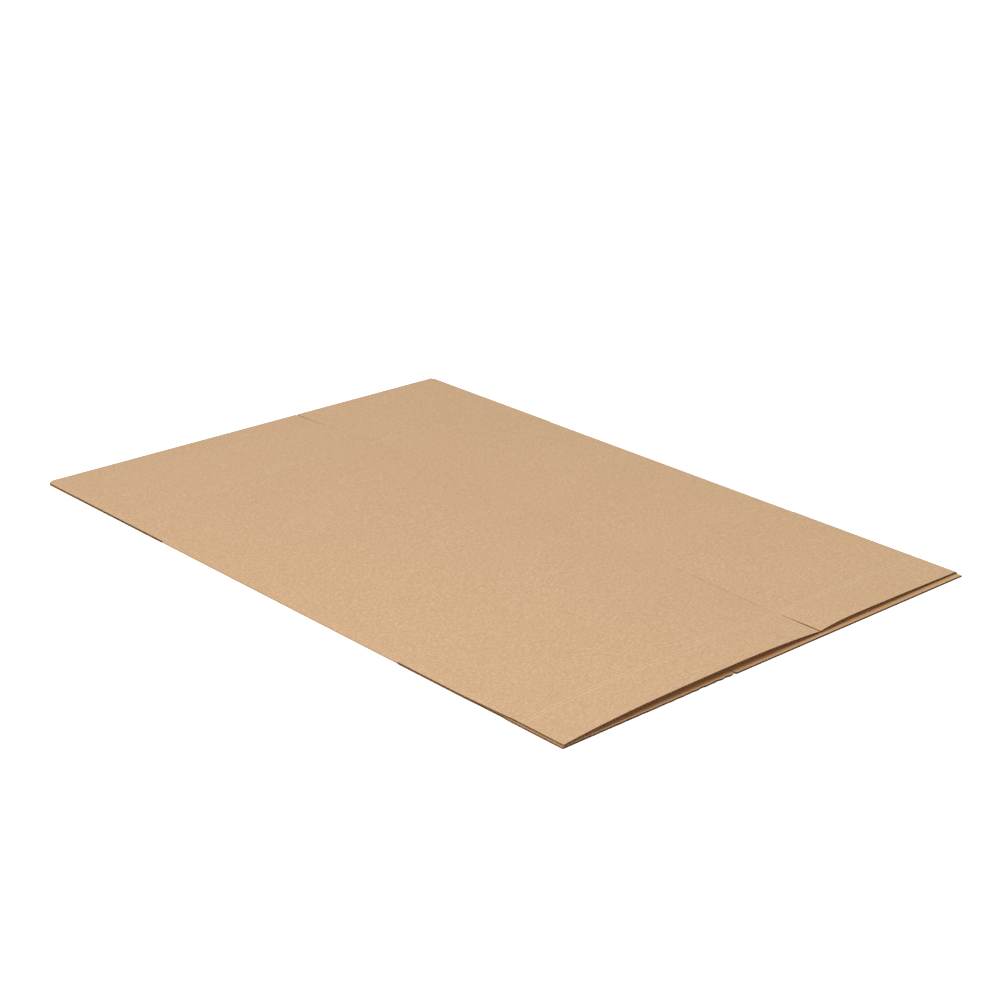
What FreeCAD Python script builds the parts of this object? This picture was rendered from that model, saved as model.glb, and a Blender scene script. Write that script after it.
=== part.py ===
import FreeCAD, Part
import math
import os

# A shipping box of single-wall corrugated board, glued into a tube of four panels
# and folded flat. It is one sheet: two long and two short side panels, each with a
# flap at both ends, bent round at two opposite corners and left lying in two layers.
# Millimetres. +Z is up. +X runs across the panels, +Y runs along the flutes, and the
# end at -Y is the one whose upper flaps stand off the lower ones.

Vector = FreeCAD.Vector

# Panels of the box, measured between the corner creases.
LONG_PANEL = 610.0
SHORT_PANEL = 390.0
BODY_DEPTH = 668.0
FLAP_LENGTH = 386.0

# The board: two facings with a fluted sheet between them. The flutes are open at the
# cut ends of the flaps and are pressed shut this far in.
BOARD = 3.6
FACING = 0.4
FLUTE_PITCH = 7.5
FLUTE_SHEET = 0.35
OPEN_FLUTE = 90.0
LAYER_GAP = 0.3

# Slots between the flaps: wider at the free edge, narrow from here to the root. At the
# folded sides they leave the flaps' sides this far inside the fold.
SLOT_MOUTH = 3.0
SLOT_ROOT = 1.0
SLOT_NARROWS = 95.0
SIDE_SETBACK = 0.5

# Scored creases at the roots of the flaps, on the outside of the box.
CREASE_WIDTH = 5.0
CREASE_DEPTH = 0.8

# Pairs of fine lines that pressing bands left across all the panels, and how far
# each pair lies from its free end.
PRESS_NEAR = 95.0
PRESS_FAR = 266.0
PRESS_SPACING = 7.0
PRESS_WIDTH = 3.0
PRESS_DEPTH = 0.45

# The glued tab of the maker's joint, inside the lower layer, and its open seam.
TAB_WIDTH = 35.0
TAB_THICKNESS = 2.4
TAB_TAPER = 12.0
TAB_CLEARANCE = 4.0
TAB_ROOT = 6.0
SEAM_GAP = 2.0

# How far each layer's right side has slipped towards the near end. The upper layer has
# done so at its far end only.
LOWER_SLIP = 11.0
UPPER_SLIP = 7.7

# Rise of the upper layer off the lower one along the length: each pair is a share of
# the length from the near end, and the rise there.
LONG_RISE = ((0.0, 9.6), (0.10, 9.6), (0.30, 11.0), (0.80, 12.0), (1.0, 0.0))
VALLEY_RISE = ((0.0, 1.0), (0.08, 1.0), (0.25, 7.5), (0.50, 12.0), (0.78, 12.0), (1.0, 0.0))
SHORT_RISE = ((0.0, 5.0), (0.10, 3.0), (0.30, 4.0), (0.80, 4.0), (1.0, 0.0))

# Where each panel's swell is highest, as a share of its width from the left, and how
# full the swell is before and after that, also along the length.
LONG_CROWN = ((0.0, 0.50), (1.0, 0.50))
LONG_FULL = (((0.0, 2.8), (0.25, 2.0), (1.0, 2.0)), ((0.0, 2.8), (0.25, 2.0), (1.0, 2.0)))
SHORT_CROWN = ((0.0, 0.25), (0.25, 0.55), (1.0, 0.55))
SHORT_FULL = (((0.0, 2.3), (0.25, 2.0), (1.0, 2.0)), ((0.0, 1.3), (0.25, 2.0), (1.0, 2.0)))

# Sizes that follow from those above.
WIDTH = LONG_PANEL + SHORT_PANEL
LENGTH = BODY_DEPTH + 2 * FLAP_LENGTH
LEFT = -WIDTH / 2
RIGHT = WIDTH / 2
NEAR_END = -LENGTH / 2
FAR_END = LENGTH / 2
NEAR_CREASE = -BODY_DEPTH / 2
FAR_CREASE = BODY_DEPTH / 2
FOLD_RADIUS = BOARD + LAYER_GAP / 2
FOLD_LEFT = LEFT + FOLD_RADIUS
FOLD_RIGHT = RIGHT - FOLD_RADIUS
FLAP_LEFT = LEFT + SIDE_SETBACK
FLAP_RIGHT = RIGHT - SIDE_SETBACK
UPPER_CORNER = LEFT + LONG_PANEL
LOWER_CORNER = RIGHT - LONG_PANEL
UPPER_FACE = 2 * BOARD + LAYER_GAP
HIGHEST_RISE = max(rise for share, rise in LONG_RISE + SHORT_RISE + VALLEY_RISE)

# Tools reach this far past what they cut, and this high above the upper layer.
OVERCUT = 2.0
TOOL_TOP = UPPER_FACE + 2 * HIGHEST_RISE + OVERCUT

# Shares of the length and number of points across a panel that the upper layer runs
# through. The last two shares keep its far end level.
STATIONS = (0.0, 0.08, 0.16, 0.25, 0.37, 0.50, 0.64, 0.77, 0.85, 0.93, 0.985, 1.0)
CURVE_POINTS = 9


def shares(count):
    """Evenly spaced shares from 0 to 1."""
    return [i / (count - 1) for i in range(count)]


def eased(stations, share):
    """Value between stations of (share, value), joined by level-ended curves."""
    for (start, low), (end, high) in zip(stations, stations[1:]):
        if share <= end:
            part = (share - start) / (end - start)
            return low + (high - low) * part * part * (3 - 2 * part)
    return stations[-1][1]


def swell(share, along, crowns, full):
    """Swell across a panel: nothing at its sides and one at the crown."""
    crown = eased(crowns, along)
    side = crown if share < crown else 1 - crown
    power = eased(full[0] if share < crown else full[1], along)
    return 1 - abs((share - crown) / side) ** power


def upper_height(x, y):
    """Height of the upper layer's outer face."""
    along = (y - NEAR_END) / LENGTH
    valley = eased(VALLEY_RISE, along)
    x = min(max(x, FOLD_LEFT), FOLD_RIGHT)
    if x <= UPPER_CORNER:
        share = (x - FOLD_LEFT) / (UPPER_CORNER - FOLD_LEFT)
        rise = eased(LONG_RISE, along) * swell(share, along, LONG_CROWN, LONG_FULL)
        return UPPER_FACE + rise + valley * share
    share = (x - UPPER_CORNER) / (FOLD_RIGHT - UPPER_CORNER)
    rise = eased(SHORT_RISE, along) * swell(share, along, SHORT_CROWN, SHORT_FULL)
    return UPPER_FACE + rise + valley * (1 - share)


def lower_height(x, y):
    """Height of the lower layer's inner face, which lies flat."""
    return BOARD


def no_slip(x):
    """The upper layer's near end is square to its sides."""
    return 0.0


def upper_slip(x):
    """How far the upper layer's far end has slipped towards the near end at x."""
    return UPPER_SLIP * (x - LEFT) / WIDTH


def lower_slip(x):
    """How far the lower layer has slipped towards the near end at x."""
    return LOWER_SLIP * (x - LEFT) / WIDTH


def inward(end):
    """Direction along the length from a free end into the box."""
    return -math.copysign(1.0, end)


def triangle_face(a, b, c):
    return Part.Face(Part.makePolygon([a, b, c, a]))


def plan_prism(points, low, high):
    """Upright solid over a closed outline of (x, y) points."""
    corners = [Vector(x, y, low) for x, y in points]
    face = Part.Face(Part.makePolygon(corners + corners[:1]))
    return face.extrude(Vector(0, 0, high - low))


def curve_across(x_start, x_end, y, drop):
    """Smooth edge that follows the upper layer across a panel."""
    points = []
    for share in shares(CURVE_POINTS):
        x = x_start + (x_end - x_start) * share
        points.append(Vector(x, y, upper_height(x, y) - drop))
    curve = Part.BSplineCurve()
    curve.interpolate(points)
    return curve.toShape()


def face_edges(y, drop):
    """Edges across one face of the upper layer, and its two end points."""
    corners = [Vector(x, y, upper_height(x, y) - drop)
               for x in (FLAP_LEFT, FOLD_LEFT, FOLD_RIGHT, FLAP_RIGHT)]
    edges = [
        Part.makeLine(corners[0], corners[1]),
        curve_across(FOLD_LEFT, UPPER_CORNER, y, drop),
        curve_across(UPPER_CORNER, FOLD_RIGHT, y, drop),
        Part.makeLine(corners[2], corners[3]),
    ]
    return edges, corners[0], corners[3]


def upper_section(y):
    """Closed section of the upper layer at one place along its length."""
    outer, outer_left, outer_right = face_edges(y, 0.0)
    inner, inner_left, inner_right = face_edges(y, BOARD)
    right = Part.makeLine(outer_right, inner_right)
    left = Part.makeLine(inner_left, outer_left)
    return Part.Wire(outer + [right] + inner[::-1] + [left])


def side_trim(x_in, x_out):
    """Tool that takes the flaps' side strip off the body, where the fold stands."""
    outline = [
        (x_in, NEAR_CREASE),
        (x_out, NEAR_CREASE),
        (x_out, FAR_CREASE),
        (x_in, FAR_CREASE),
    ]
    return plan_prism(outline, -OVERCUT, TOOL_TOP)


def upper_end_trim():
    """Tool that takes the slipped strip off the upper layer's far end."""
    outline = [
        (LEFT - OVERCUT, FAR_END - upper_slip(LEFT - OVERCUT)),
        (RIGHT + OVERCUT, FAR_END - upper_slip(RIGHT + OVERCUT)),
        (RIGHT + OVERCUT, FAR_END + OVERCUT),
        (LEFT - OVERCUT, FAR_END + OVERCUT),
    ]
    return plan_prism(outline, -OVERCUT, TOOL_TOP)


def slot(x, end, crease, slip):
    """Tool for one slot, from beyond a free end to the crease at the flaps' roots."""
    mouth = SLOT_MOUTH / 2
    root = SLOT_ROOT / 2
    beyond = end - inward(end) * (OVERCUT + LOWER_SLIP)
    edge = end - slip
    waist = edge + inward(end) * SLOT_NARROWS
    outline = [
        (x - mouth, beyond),
        (x - mouth, edge),
        (x - root, waist),
        (x - root, crease),
        (x + root, crease),
        (x + root, waist),
        (x + mouth, edge),
        (x + mouth, beyond),
    ]
    return plan_prism(outline, -OVERCUT, TOOL_TOP)


def crease_places():
    """Place, width and depth of every line that crosses all the panels."""
    places = [
        (NEAR_CREASE, CREASE_WIDTH, CREASE_DEPTH),
        (FAR_CREASE, CREASE_WIDTH, CREASE_DEPTH),
    ]
    for middle in (NEAR_END + PRESS_NEAR, FAR_END - PRESS_FAR):
        for side in (-PRESS_SPACING / 2, PRESS_SPACING / 2):
            places.append((middle + side, PRESS_WIDTH, PRESS_DEPTH))
    return places


def upper_groove(y, width, depth):
    """Tools for one V-shaped line that follows the upper layer's outer face."""
    tools = []
    flare = width / 2 * (depth + OVERCUT) / depth
    panels = ((LEFT - OVERCUT, UPPER_CORNER), (UPPER_CORNER, RIGHT + OVERCUT))
    for x_start, x_end in panels:
        sections = []
        for share in shares(CURVE_POINTS):
            x = x_start + (x_end - x_start) * share
            top = upper_height(x, y)
            corners = [
                Vector(x, y - flare, top + OVERCUT),
                Vector(x, y, top - depth),
                Vector(x, y + flare, top + OVERCUT),
            ]
            sections.append(Part.makePolygon(corners + corners[:1]))
        tools.append(Part.makeLoft(sections, True, False))
    return tools


def lower_groove(y, width, depth):
    """Tool for one V-shaped line in the lower layer's outer face."""
    start = LEFT - OVERCUT
    flare = width / 2 * (depth + OVERCUT) / depth
    profile = triangle_face(
        Vector(start, y - flare, -OVERCUT),
        Vector(start, y, depth),
        Vector(start, y + flare, -OVERCUT),
    )
    return profile.extrude(Vector(WIDTH + 2 * OVERCUT, 0, 0))


def make_upper_layer():
    """Long and short panel with their flaps, arched off the lower layer."""
    sections = [upper_section(NEAR_END + LENGTH * share) for share in STATIONS]
    layer = Part.makeLoft(sections, True, False)
    tools = [
        side_trim(LEFT - OVERCUT, FOLD_LEFT),
        side_trim(FOLD_RIGHT, RIGHT + OVERCUT),
        slot(UPPER_CORNER, NEAR_END, NEAR_CREASE, 0.0),
        slot(UPPER_CORNER, FAR_END, FAR_CREASE, upper_slip(UPPER_CORNER)),
        upper_end_trim(),
    ]
    layer = layer.cut(tools)
    for y, width, depth in crease_places():
        layer = layer.cut(upper_groove(y, width, depth))
    return layer


def make_lower_layer():
    """Short and long panel with their flaps, lying flat, with the open seam between."""
    outline = [
        (FLAP_LEFT, NEAR_END - lower_slip(FLAP_LEFT)),
        (FLAP_RIGHT, NEAR_END - lower_slip(FLAP_RIGHT)),
        (FLAP_RIGHT, FAR_END - lower_slip(FLAP_RIGHT)),
        (FLAP_LEFT, FAR_END - lower_slip(FLAP_LEFT)),
    ]
    slip = lower_slip(LOWER_CORNER)
    tools = [
        side_trim(LEFT - OVERCUT, FOLD_LEFT),
        side_trim(FOLD_RIGHT, RIGHT + OVERCUT),
        slot(LOWER_CORNER, NEAR_END, NEAR_CREASE, slip),
        slot(LOWER_CORNER, FAR_END, FAR_CREASE, slip),
        make_seam(),
    ]
    tools += [lower_groove(y, width, depth) for y, width, depth in crease_places()]
    return plan_prism(outline, 0.0, BOARD).cut(tools)


def make_seam():
    """Tool for the open butt between the two panels that the tab holds together."""
    half = SEAM_GAP / 2
    outline = [
        (LOWER_CORNER - half, NEAR_CREASE),
        (LOWER_CORNER + half, NEAR_CREASE),
        (LOWER_CORNER + half, FAR_CREASE),
        (LOWER_CORNER - half, FAR_CREASE),
    ]
    return plan_prism(outline, -OVERCUT, BOARD + OVERCUT)


def make_tab():
    """Glued tab, hinged on the long panel and stuck down inside the short one."""
    root = LOWER_CORNER + SEAM_GAP / 2 + TAB_ROOT
    tip = LOWER_CORNER - SEAM_GAP / 2 - TAB_WIDTH
    near = NEAR_CREASE + TAB_CLEARANCE
    far = FAR_CREASE - TAB_CLEARANCE
    outline = [
        (root, near),
        (root, far),
        (LOWER_CORNER, far),
        (tip, far - TAB_TAPER),
        (tip, near + TAB_TAPER),
        (LOWER_CORNER, near),
    ]
    return plan_prism(outline, BOARD, BOARD + TAB_THICKNESS)


def make_fold(x, outward):
    """Board bent half round at a corner of the body, joining the two layers."""
    middle = FOLD_RADIUS
    arcs = []
    for radius in (FOLD_RADIUS, LAYER_GAP / 2):
        top = Vector(x, NEAR_CREASE, middle + radius)
        side = Vector(x + outward * radius, NEAR_CREASE, middle)
        low = Vector(x, NEAR_CREASE, middle - radius)
        arcs.append(Part.Arc(top, side, low).toShape())
    low_end = Part.makeLine(Vector(x, NEAR_CREASE, 0.0), Vector(x, NEAR_CREASE, BOARD))
    top_end = low_end.translated(Vector(0, 0, BOARD + LAYER_GAP))
    face = Part.Face(Part.Wire([arcs[0], low_end, arcs[1], top_end]))
    return face.extrude(Vector(0, BODY_DEPTH, 0))


def flap_ends():
    """Every cut end of a flap: its sides, its free end, and its layer's functions."""
    half = SLOT_MOUTH / 2
    ends = []
    for end, slip in ((NEAR_END, no_slip), (FAR_END, upper_slip)):
        ends.append((FLAP_LEFT, UPPER_CORNER - half, end, upper_height, slip))
        ends.append((UPPER_CORNER + half, FLAP_RIGHT, end, upper_height, slip))
        ends.append((FLAP_LEFT, LOWER_CORNER - half, end, lower_height, lower_slip))
        ends.append((LOWER_CORNER + half, FLAP_RIGHT, end, lower_height, lower_slip))
    return ends


def flute_cells(x_start, x_end, end, height, slip):
    """Open flute ends across one cut end: three mouth corners and an inner tip each.

    A cell lies on each side of the fluted sheet in turn. It is open at the cut edge
    and closes towards the place where the board is pressed flat.
    """
    rise = (BOARD - 2 * FACING) / (FLUTE_PITCH / 2)
    web = FLUTE_SHEET / math.sin(math.atan(rise))
    half_base = (FLUTE_PITCH - web) / 2
    count = int(2 * (x_end - x_start) / FLUTE_PITCH) - 2
    first = (x_start + x_end - (count - 1) * FLUTE_PITCH / 2) / 2
    cells = []
    for i in range(count):
        x = first + i * FLUTE_PITCH / 2
        side = 1.0 if i % 2 else -1.0
        mouth = []
        for across, climb in ((-half_base, 0.0), (half_base, 0.0), (0.0, half_base * rise)):
            at = x + across
            middle = height(at, end) - BOARD / 2
            mouth.append(Vector(at, end - slip(at), middle + side * (climb - BOARD / 2 + FACING)))
        tip_y = end - slip(x) + inward(end) * OPEN_FLUTE
        cells.append((mouth, Vector(x, tip_y, height(x, tip_y) - BOARD / 2)))
    return cells


def open_flutes(box):
    """The box with its flutes open at every cut end."""
    faces = list(box.Faces)
    opened = []
    for x_start, x_end, end, height, slip in flap_ends():
        x = (x_start + x_end) / 2
        middle = Vector(x, end - slip(x), height(x, end) - BOARD / 2)
        closed = next(face for face in faces if face.isInside(middle, BOARD / 10, True))
        faces = [face for face in faces if not face.isSame(closed)]
        cells = flute_cells(x_start, x_end, end, height, slip)
        mouths = [Part.makePolygon(mouth + mouth[:1]) for mouth, tip in cells]
        cut_end = Part.Face([closed.OuterWire] + mouths)
        cut_end.validate()
        opened.append(cut_end)
        for mouth, tip in cells:
            for a, b in zip(mouth, mouth[1:] + mouth[:1]):
                opened.append(triangle_face(a, b, tip))
    shell = Part.Shell(faces + opened)
    shell.sewShape()
    return Part.Solid(shell)


def make_box():
    """The whole folded sheet as one solid, centred over its outline."""
    folds = [make_fold(FOLD_LEFT, -1), make_fold(FOLD_RIGHT, 1)]
    box = make_lower_layer().fuse(folds + [make_upper_layer(), make_tab()])
    box = open_flutes(box)
    box.translate(Vector(0, lower_slip(FLAP_RIGHT) / 2, 0))
    return box


def main():
    os.makedirs("parts", exist_ok=True)
    make_box().exportStep("parts/folded_box.step")


main()
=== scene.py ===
import math

import bmesh
import bpy
from bpy.props import FloatProperty, FloatVectorProperty, PointerProperty, StringProperty
from bpy.types import Operator, Panel, PropertyGroup
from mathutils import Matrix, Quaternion, Vector


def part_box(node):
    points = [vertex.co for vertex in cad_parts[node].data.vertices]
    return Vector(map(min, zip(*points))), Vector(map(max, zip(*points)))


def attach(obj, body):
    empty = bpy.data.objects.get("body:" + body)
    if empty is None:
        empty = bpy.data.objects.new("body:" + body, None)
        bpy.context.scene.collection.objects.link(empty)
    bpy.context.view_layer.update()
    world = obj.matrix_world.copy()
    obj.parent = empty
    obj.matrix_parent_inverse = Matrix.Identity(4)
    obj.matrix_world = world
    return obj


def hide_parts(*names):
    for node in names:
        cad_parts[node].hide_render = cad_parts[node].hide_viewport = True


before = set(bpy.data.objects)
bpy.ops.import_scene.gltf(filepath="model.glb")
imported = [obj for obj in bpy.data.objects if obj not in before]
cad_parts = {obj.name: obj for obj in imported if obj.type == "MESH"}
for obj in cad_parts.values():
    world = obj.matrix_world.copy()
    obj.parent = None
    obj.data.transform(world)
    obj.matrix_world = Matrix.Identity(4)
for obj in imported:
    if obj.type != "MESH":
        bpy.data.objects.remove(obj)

bl_info = {
    "name": "Flattened Corrugated Box",
    "version": (1, 0, 0),
    "blender": (4, 5, 0),
    "location": "3D View > Sidebar > Flat Box",
    "description": "Builds the board, fluting and studio of a corrugated box folded flat",
    "category": "Add Mesh",
}

NODE = "folded_box"
BODY = "root"

# The whole flat box, from the frame.
BOX_LOW, BOX_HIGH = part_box(NODE)
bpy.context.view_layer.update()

# Lengths are in metres. The panels, the layers' rise and the slips repeat the solid.
LONG_PANEL = 0.610
FLAP_LENGTH = 0.386
LOWER_SLIP = 0.0110
UPPER_SLIP = 0.0077
LAYER_GAP = 0.0003
SIDE_SETBACK = 0.0005
SEAM_GAP = 0.002
LEFT = BOX_LOW.x
RIGHT = BOX_HIGH.x
WIDTH = RIGHT - LEFT
NEAR_END = BOX_LOW.y + LOWER_SLIP * (WIDTH - SIDE_SETBACK) / WIDTH
FAR_END = BOX_HIGH.y
LENGTH = FAR_END - NEAR_END
NEAR_CREASE = NEAR_END + FLAP_LENGTH
FAR_CREASE = FAR_END - FLAP_LENGTH
UPPER_CORNER = LEFT + LONG_PANEL
LOWER_CORNER = RIGHT - LONG_PANEL

# Rise of the upper layer off the lower one: (share of the length, rise).
LONG_RISE = ((0.0, 0.0096), (0.10, 0.0096), (0.30, 0.0110), (0.80, 0.0120), (1.0, 0.0))
VALLEY_RISE = (
    (0.0, 0.0010), (0.08, 0.0010), (0.25, 0.0075), (0.50, 0.0120), (0.78, 0.0120), (1.0, 0.0))
SHORT_RISE = ((0.0, 0.0050), (0.10, 0.0030), (0.30, 0.0040), (0.80, 0.0040), (1.0, 0.0))

# Where each panel's swell is highest, as a share of its width from the left, and how
# full the swell is before and after that, also along the length.
LONG_CROWN = ((0.0, 0.50), (1.0, 0.50))
LONG_FULL = (((0.0, 2.8), (0.25, 2.0), (1.0, 2.0)), ((0.0, 2.8), (0.25, 2.0), (1.0, 2.0)))
SHORT_CROWN = ((0.0, 0.25), (0.25, 0.55), (1.0, 0.55))
SHORT_FULL = (((0.0, 2.3), (0.25, 2.0), (1.0, 2.0)), ((0.0, 1.3), (0.25, 2.0), (1.0, 2.0)))

# Width of the slots by the distance from the free edge: the upper layer's near and far
# one, which close up where the two flaps touch, and both of the lower layer.
NEAR_SLOT = (
    (0.0, 0.0022), (0.030, 0.0026), (0.072, 0.0008), (0.096, 0.00006), (0.128, 0.00006),
    (0.160, 0.0005), (0.300, 0.0004), (0.340, 0.00006), (0.386, 0.00006))
FAR_SLOT = ((0.0, 0.0018), (0.065, 0.0008), (0.110, 0.0003), (0.140, 0.00006), (0.386, 0.00006))
LOWER_SLOT = ((0.0, 0.0024), (0.008, 0.0008), (0.095, 0.0006), (0.386, 0.0006))

# How far the flaps' sides stand in from the left folded side, by the distance from the
# near end, where the corner slots were cut a little off the fold.
UPPER_SETBACK = ((0.0, 0.0021), (0.100, 0.0019), (0.150, 0.0006), (0.386, 0.0005))
LOWER_SETBACK = (
    (0.0, 0.0001), (0.122, 0.0001), (0.130, 0.0018), (0.190, 0.0012), (0.220, 0.0004),
    (0.386, 0.0004))

# The folded sides are crushed flat by stacking, the right one all along: how much the
# left one is by the distance from the near end, and how the crush fades by the distance
# from either side. In the body both folds stand this far inside the box.
CRUSH_ALONG = ((0.0, 0.0), (0.110, 0.0), (0.260, 1.0), (1.0, 1.0))
CRUSH_ACROSS = ((0.0, 1.0), (0.0030, 1.0), (0.009, 0.0))
FOLD_SETBACK = 0.0002

# The slipped flaps reach their full slip at the free edge and have none this far in.
SLIP_REACH = 0.080

# Torn free edge of the lower near flap on the left of its slot: how much by the distance
# from the left side, how deep in all, and the even and the ragged share of that depth.
TORN_ACROSS = ((0.0, 0.0), (0.060, 0.2), (0.240, 0.5), (0.330, 1.0), (0.390, 1.0))
TORN_DEPTH = 0.0026
TORN_WAVE = 0.0031
TORN_EVEN, TORN_RAGGED = 0.6, 0.4

# The facings are nipped together at a cut edge: how far in that reaches, its share along
# the body's corner creases, and half the width of a slot where it is full.
NIP_REACH = 0.0012
CORNER_NIP = 0.5
SLOT_WIDEST = 0.0013

# How round a flap's corners are, and how far inside its edge the inner papers stop.
CORNER_RADIUS = 0.0015
INNER_RECESS = 0.0012
FLUTING_RECESS = 0.0009

# Steps of the facings' mesh: finest at an edge and growing inwards by a factor, with
# their number round a fold and across a line. The mesh has two material slots.
EDGE_STEP = 0.0007
STEP_GROWTH = 1.45
FOLD_STEPS = 9
LINE_STEPS = 6
SURFACE, CUT = 0, 1

# Band along the far end and right side that takes painted shade, and how strongly the
# pressed lines show across the width.
RIM_SHADE_BAND = 0.0040
NEAR_PRESS_SHOWS = ((0.0, 1.0), (0.30, 1.0), (0.50, 0.3), (0.61, 0.6), (1.0, 1.0))
FAR_PRESS_SHOWS = ((0.0, 0.3), (0.30, 0.3), (0.42, 1.0), (1.0, 1.0))

# The fluted sheet: steps across one wave, rows along a flap, how near two points are when
# they are joined, and how wide and how far it is pressed shut at a flap's crease.
WAVE_STEPS = 8
FLUTE_ROWS = 13
MERGE_REACH = 0.00001
CRUSH_WIDTH = 0.012
CREASE_SQUEEZE = 0.9

# The glued tab stops this far short of the creases, its corners taper, it is rooted under
# the long panel, and its crushed edges are this soft.
TAB_CLEARANCE = 0.004
TAB_TAPER = 0.012
TAB_ROOT = 0.006
TAB_SOFTNESS = 0.0006

# Grain of the kraft liner in millimetres: its fibres, their flocs and the clouds in the
# pulp. Real flocs are about 2 mm. They are drawn at 4 mm too, to show at this distance.
FIBRE_MM = 2.4
FLOC_MM = 4.0
CLOUD_MM = 140.0
LINER_LAYERS = ((FIBRE_MM, 0.90), (FLOC_MM, 0.80), (CLOUD_MM, 0.15))

# Mottle of the raw papers in millimetres, from the flocs of each.
CUT_MM = 1.5
TEST_LINER_MM = 2.5
PRESSED_MM = 3.0
FLUTING_MM = 2.0

# How the grain is drawn out along the fibres, the part of the noise that a mottle uses,
# how dark the raw papers' mottle is, and how high a fibre stands.
LINER_STRETCH = (0.6, 1.0, 1.0)
FIBRE_STRETCH = (0.5, 1.0, 1.0)
MOTTLE_LOW, MOTTLE_HIGH = 0.3, 0.7
MOTTLE_SHADE = 0.8
FIBRE_RELIEF = 0.0002

# How much of their tint the painted rim shade and the painted highlight and shade on pressed-line
# walls take.
RIM_SHADE_TINT = 0.45
GROOVE_HIGHLIGHT_TINT = 1.0
GROOVE_SHADE_TINT = 0.25

# Bark specks: place, radius and strength, and the share of the radius that is full.
SPECKS = (
    ((0.1460, -0.5438, 0.0115), 0.0026, 0.8),
    ((-0.4316, 0.2195, 0.0190), 0.0026, 0.8),
    ((0.0746, -0.3530, 0.0200), 0.0022, 0.6),
    ((-0.3963, 0.5335, 0.0115), 0.0026, 0.6),
    ((-0.1564, 0.6806, 0.0080), 0.0026, 0.5),
)
SPECK_CORE = 0.4

# Inputs and output of a Mix node for colours.
MIX_FACTOR, MIX_FIRST, MIX_SECOND, MIX_RESULT = 0, 6, 7, 2

# The floor's size, its glow to the camera, and the colour it throws back at the box.
FLOOR_SIZE = 60.0
FLOOR_GLOW = 0.65
FLOOR_BOUNCE = "D8D8D8"

# Direction that the soft light mostly comes from, and how far round from it the light
# has fallen to its lowest, as a cosine.
FILL_FROM = (-0.25, 0.55, 0.797)
FILL_LOWEST = -0.2

# The key lamp stands at the near left, and this is its diameter.
KEY_PLACE = (-2.2, -1.2, 3.4)
KEY_SIZE = 2.5
WHITE = (1.0, 1.0, 1.0, 1.0)

# Width of the camera's sensor in millimetres, and how far it sees in metres.
SENSOR_WIDTH = 36.0
CLIP_FAR = 100.0


class BoardSizes(PropertyGroup):
    """Sizes of the corrugated board and of the marks on it."""

    thickness: FloatProperty(
        name="Board", description="Thickness of the board", default=0.0036, unit="LENGTH")
    facing: FloatProperty(
        name="Facing", description="Thickness of each flat facing", default=0.0004, unit="LENGTH")
    fluting: FloatProperty(
        name="Fluting", description="Thickness of the fluted sheet", default=0.00035, unit="LENGTH")
    flute_pitch: FloatProperty(
        name="Flute pitch", description="Distance between flutes", default=0.0075, unit="LENGTH")
    side_crush: FloatProperty(
        name="Side crush", description="Thickness that each layer loses at the folded sides",
        default=0.0014, unit="LENGTH")
    edge_crush: FloatProperty(
        name="Edge crush", description="How far the facings are nipped together at a cut edge",
        default=0.0002, unit="LENGTH")
    crease_depth: FloatProperty(
        name="Crease depth", description="Depth of the scored creases at the flaps' roots",
        default=0.0004, unit="LENGTH")
    crease_width: FloatProperty(
        name="Crease width", description="Width of those creases", default=0.006, unit="LENGTH")
    press_near: FloatProperty(
        name="Near press line",
        description="Distance of the pressed pair of lines from the near end",
        default=0.095, unit="LENGTH")
    press_far: FloatProperty(
        name="Far press line",
        description="Distance of the pressed pair of lines from the far end",
        default=0.266, unit="LENGTH")
    press_spacing: FloatProperty(
        name="Press line spacing", description="Distance between the two lines of a pair",
        default=0.007, unit="LENGTH")
    press_depth: FloatProperty(
        name="Press line depth", description="Depth of each pressed line", default=0.00036,
        unit="LENGTH")
    press_width: FloatProperty(
        name="Press line width", description="Width of each pressed line", default=0.0042,
        unit="LENGTH")
    tab_width: FloatProperty(
        name="Tab width", description="Width of the glued tab beyond the seam", default=0.035,
        unit="LENGTH")
    tab_thickness: FloatProperty(
        name="Tab thickness", description="Thickness of the crushed tab", default=0.0024,
        unit="LENGTH")
    mesh_step: FloatProperty(
        name="Mesh step", description="Largest distance between the points of a facing",
        default=0.012, unit="LENGTH")


class BoardColours(PropertyGroup):
    """Colours of the papers, as sRGB hex values."""

    outer: StringProperty(name="Outer paper", description="Kraft facing", default="EECBA5")
    outer_dark: StringProperty(
        name="Outer fibres", description="Darker fibres in the kraft facing", default="C7A179")
    # Inside paper's tan, painted lighter to stand in for light reaching into the gap between the
    # layers.
    inner: StringProperty(name="Inner paper", description="Inside facing", default="E4B684")
    # Fluting colour: the medium's own darker tan, darkened further with painted shade for the
    # shadowed flute openings.
    fluting: StringProperty(name="Fluting paper", description="Fluted sheet", default="6E4A2C")
    # Cut-edge colour: the raw edge's own darker tan, darkened further with painted shade; also the
    # colour of the painted rim shade.
    cut: StringProperty(name="Cut edge", description="Cut edge of a facing", default="5E3A20")
    # Colour of the painted highlight on the near wall of each pressed line.
    groove_highlight: StringProperty(
        name="Painted groove highlight", description="Painted highlight on the near wall of a pressed line", default="FFF0D6")
    # Bark speck colour, also used for the painted shade on the far walls of the pressed lines.
    speck: StringProperty(name="Speck", description="Bark speck in the paper", default="8A6444")


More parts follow.
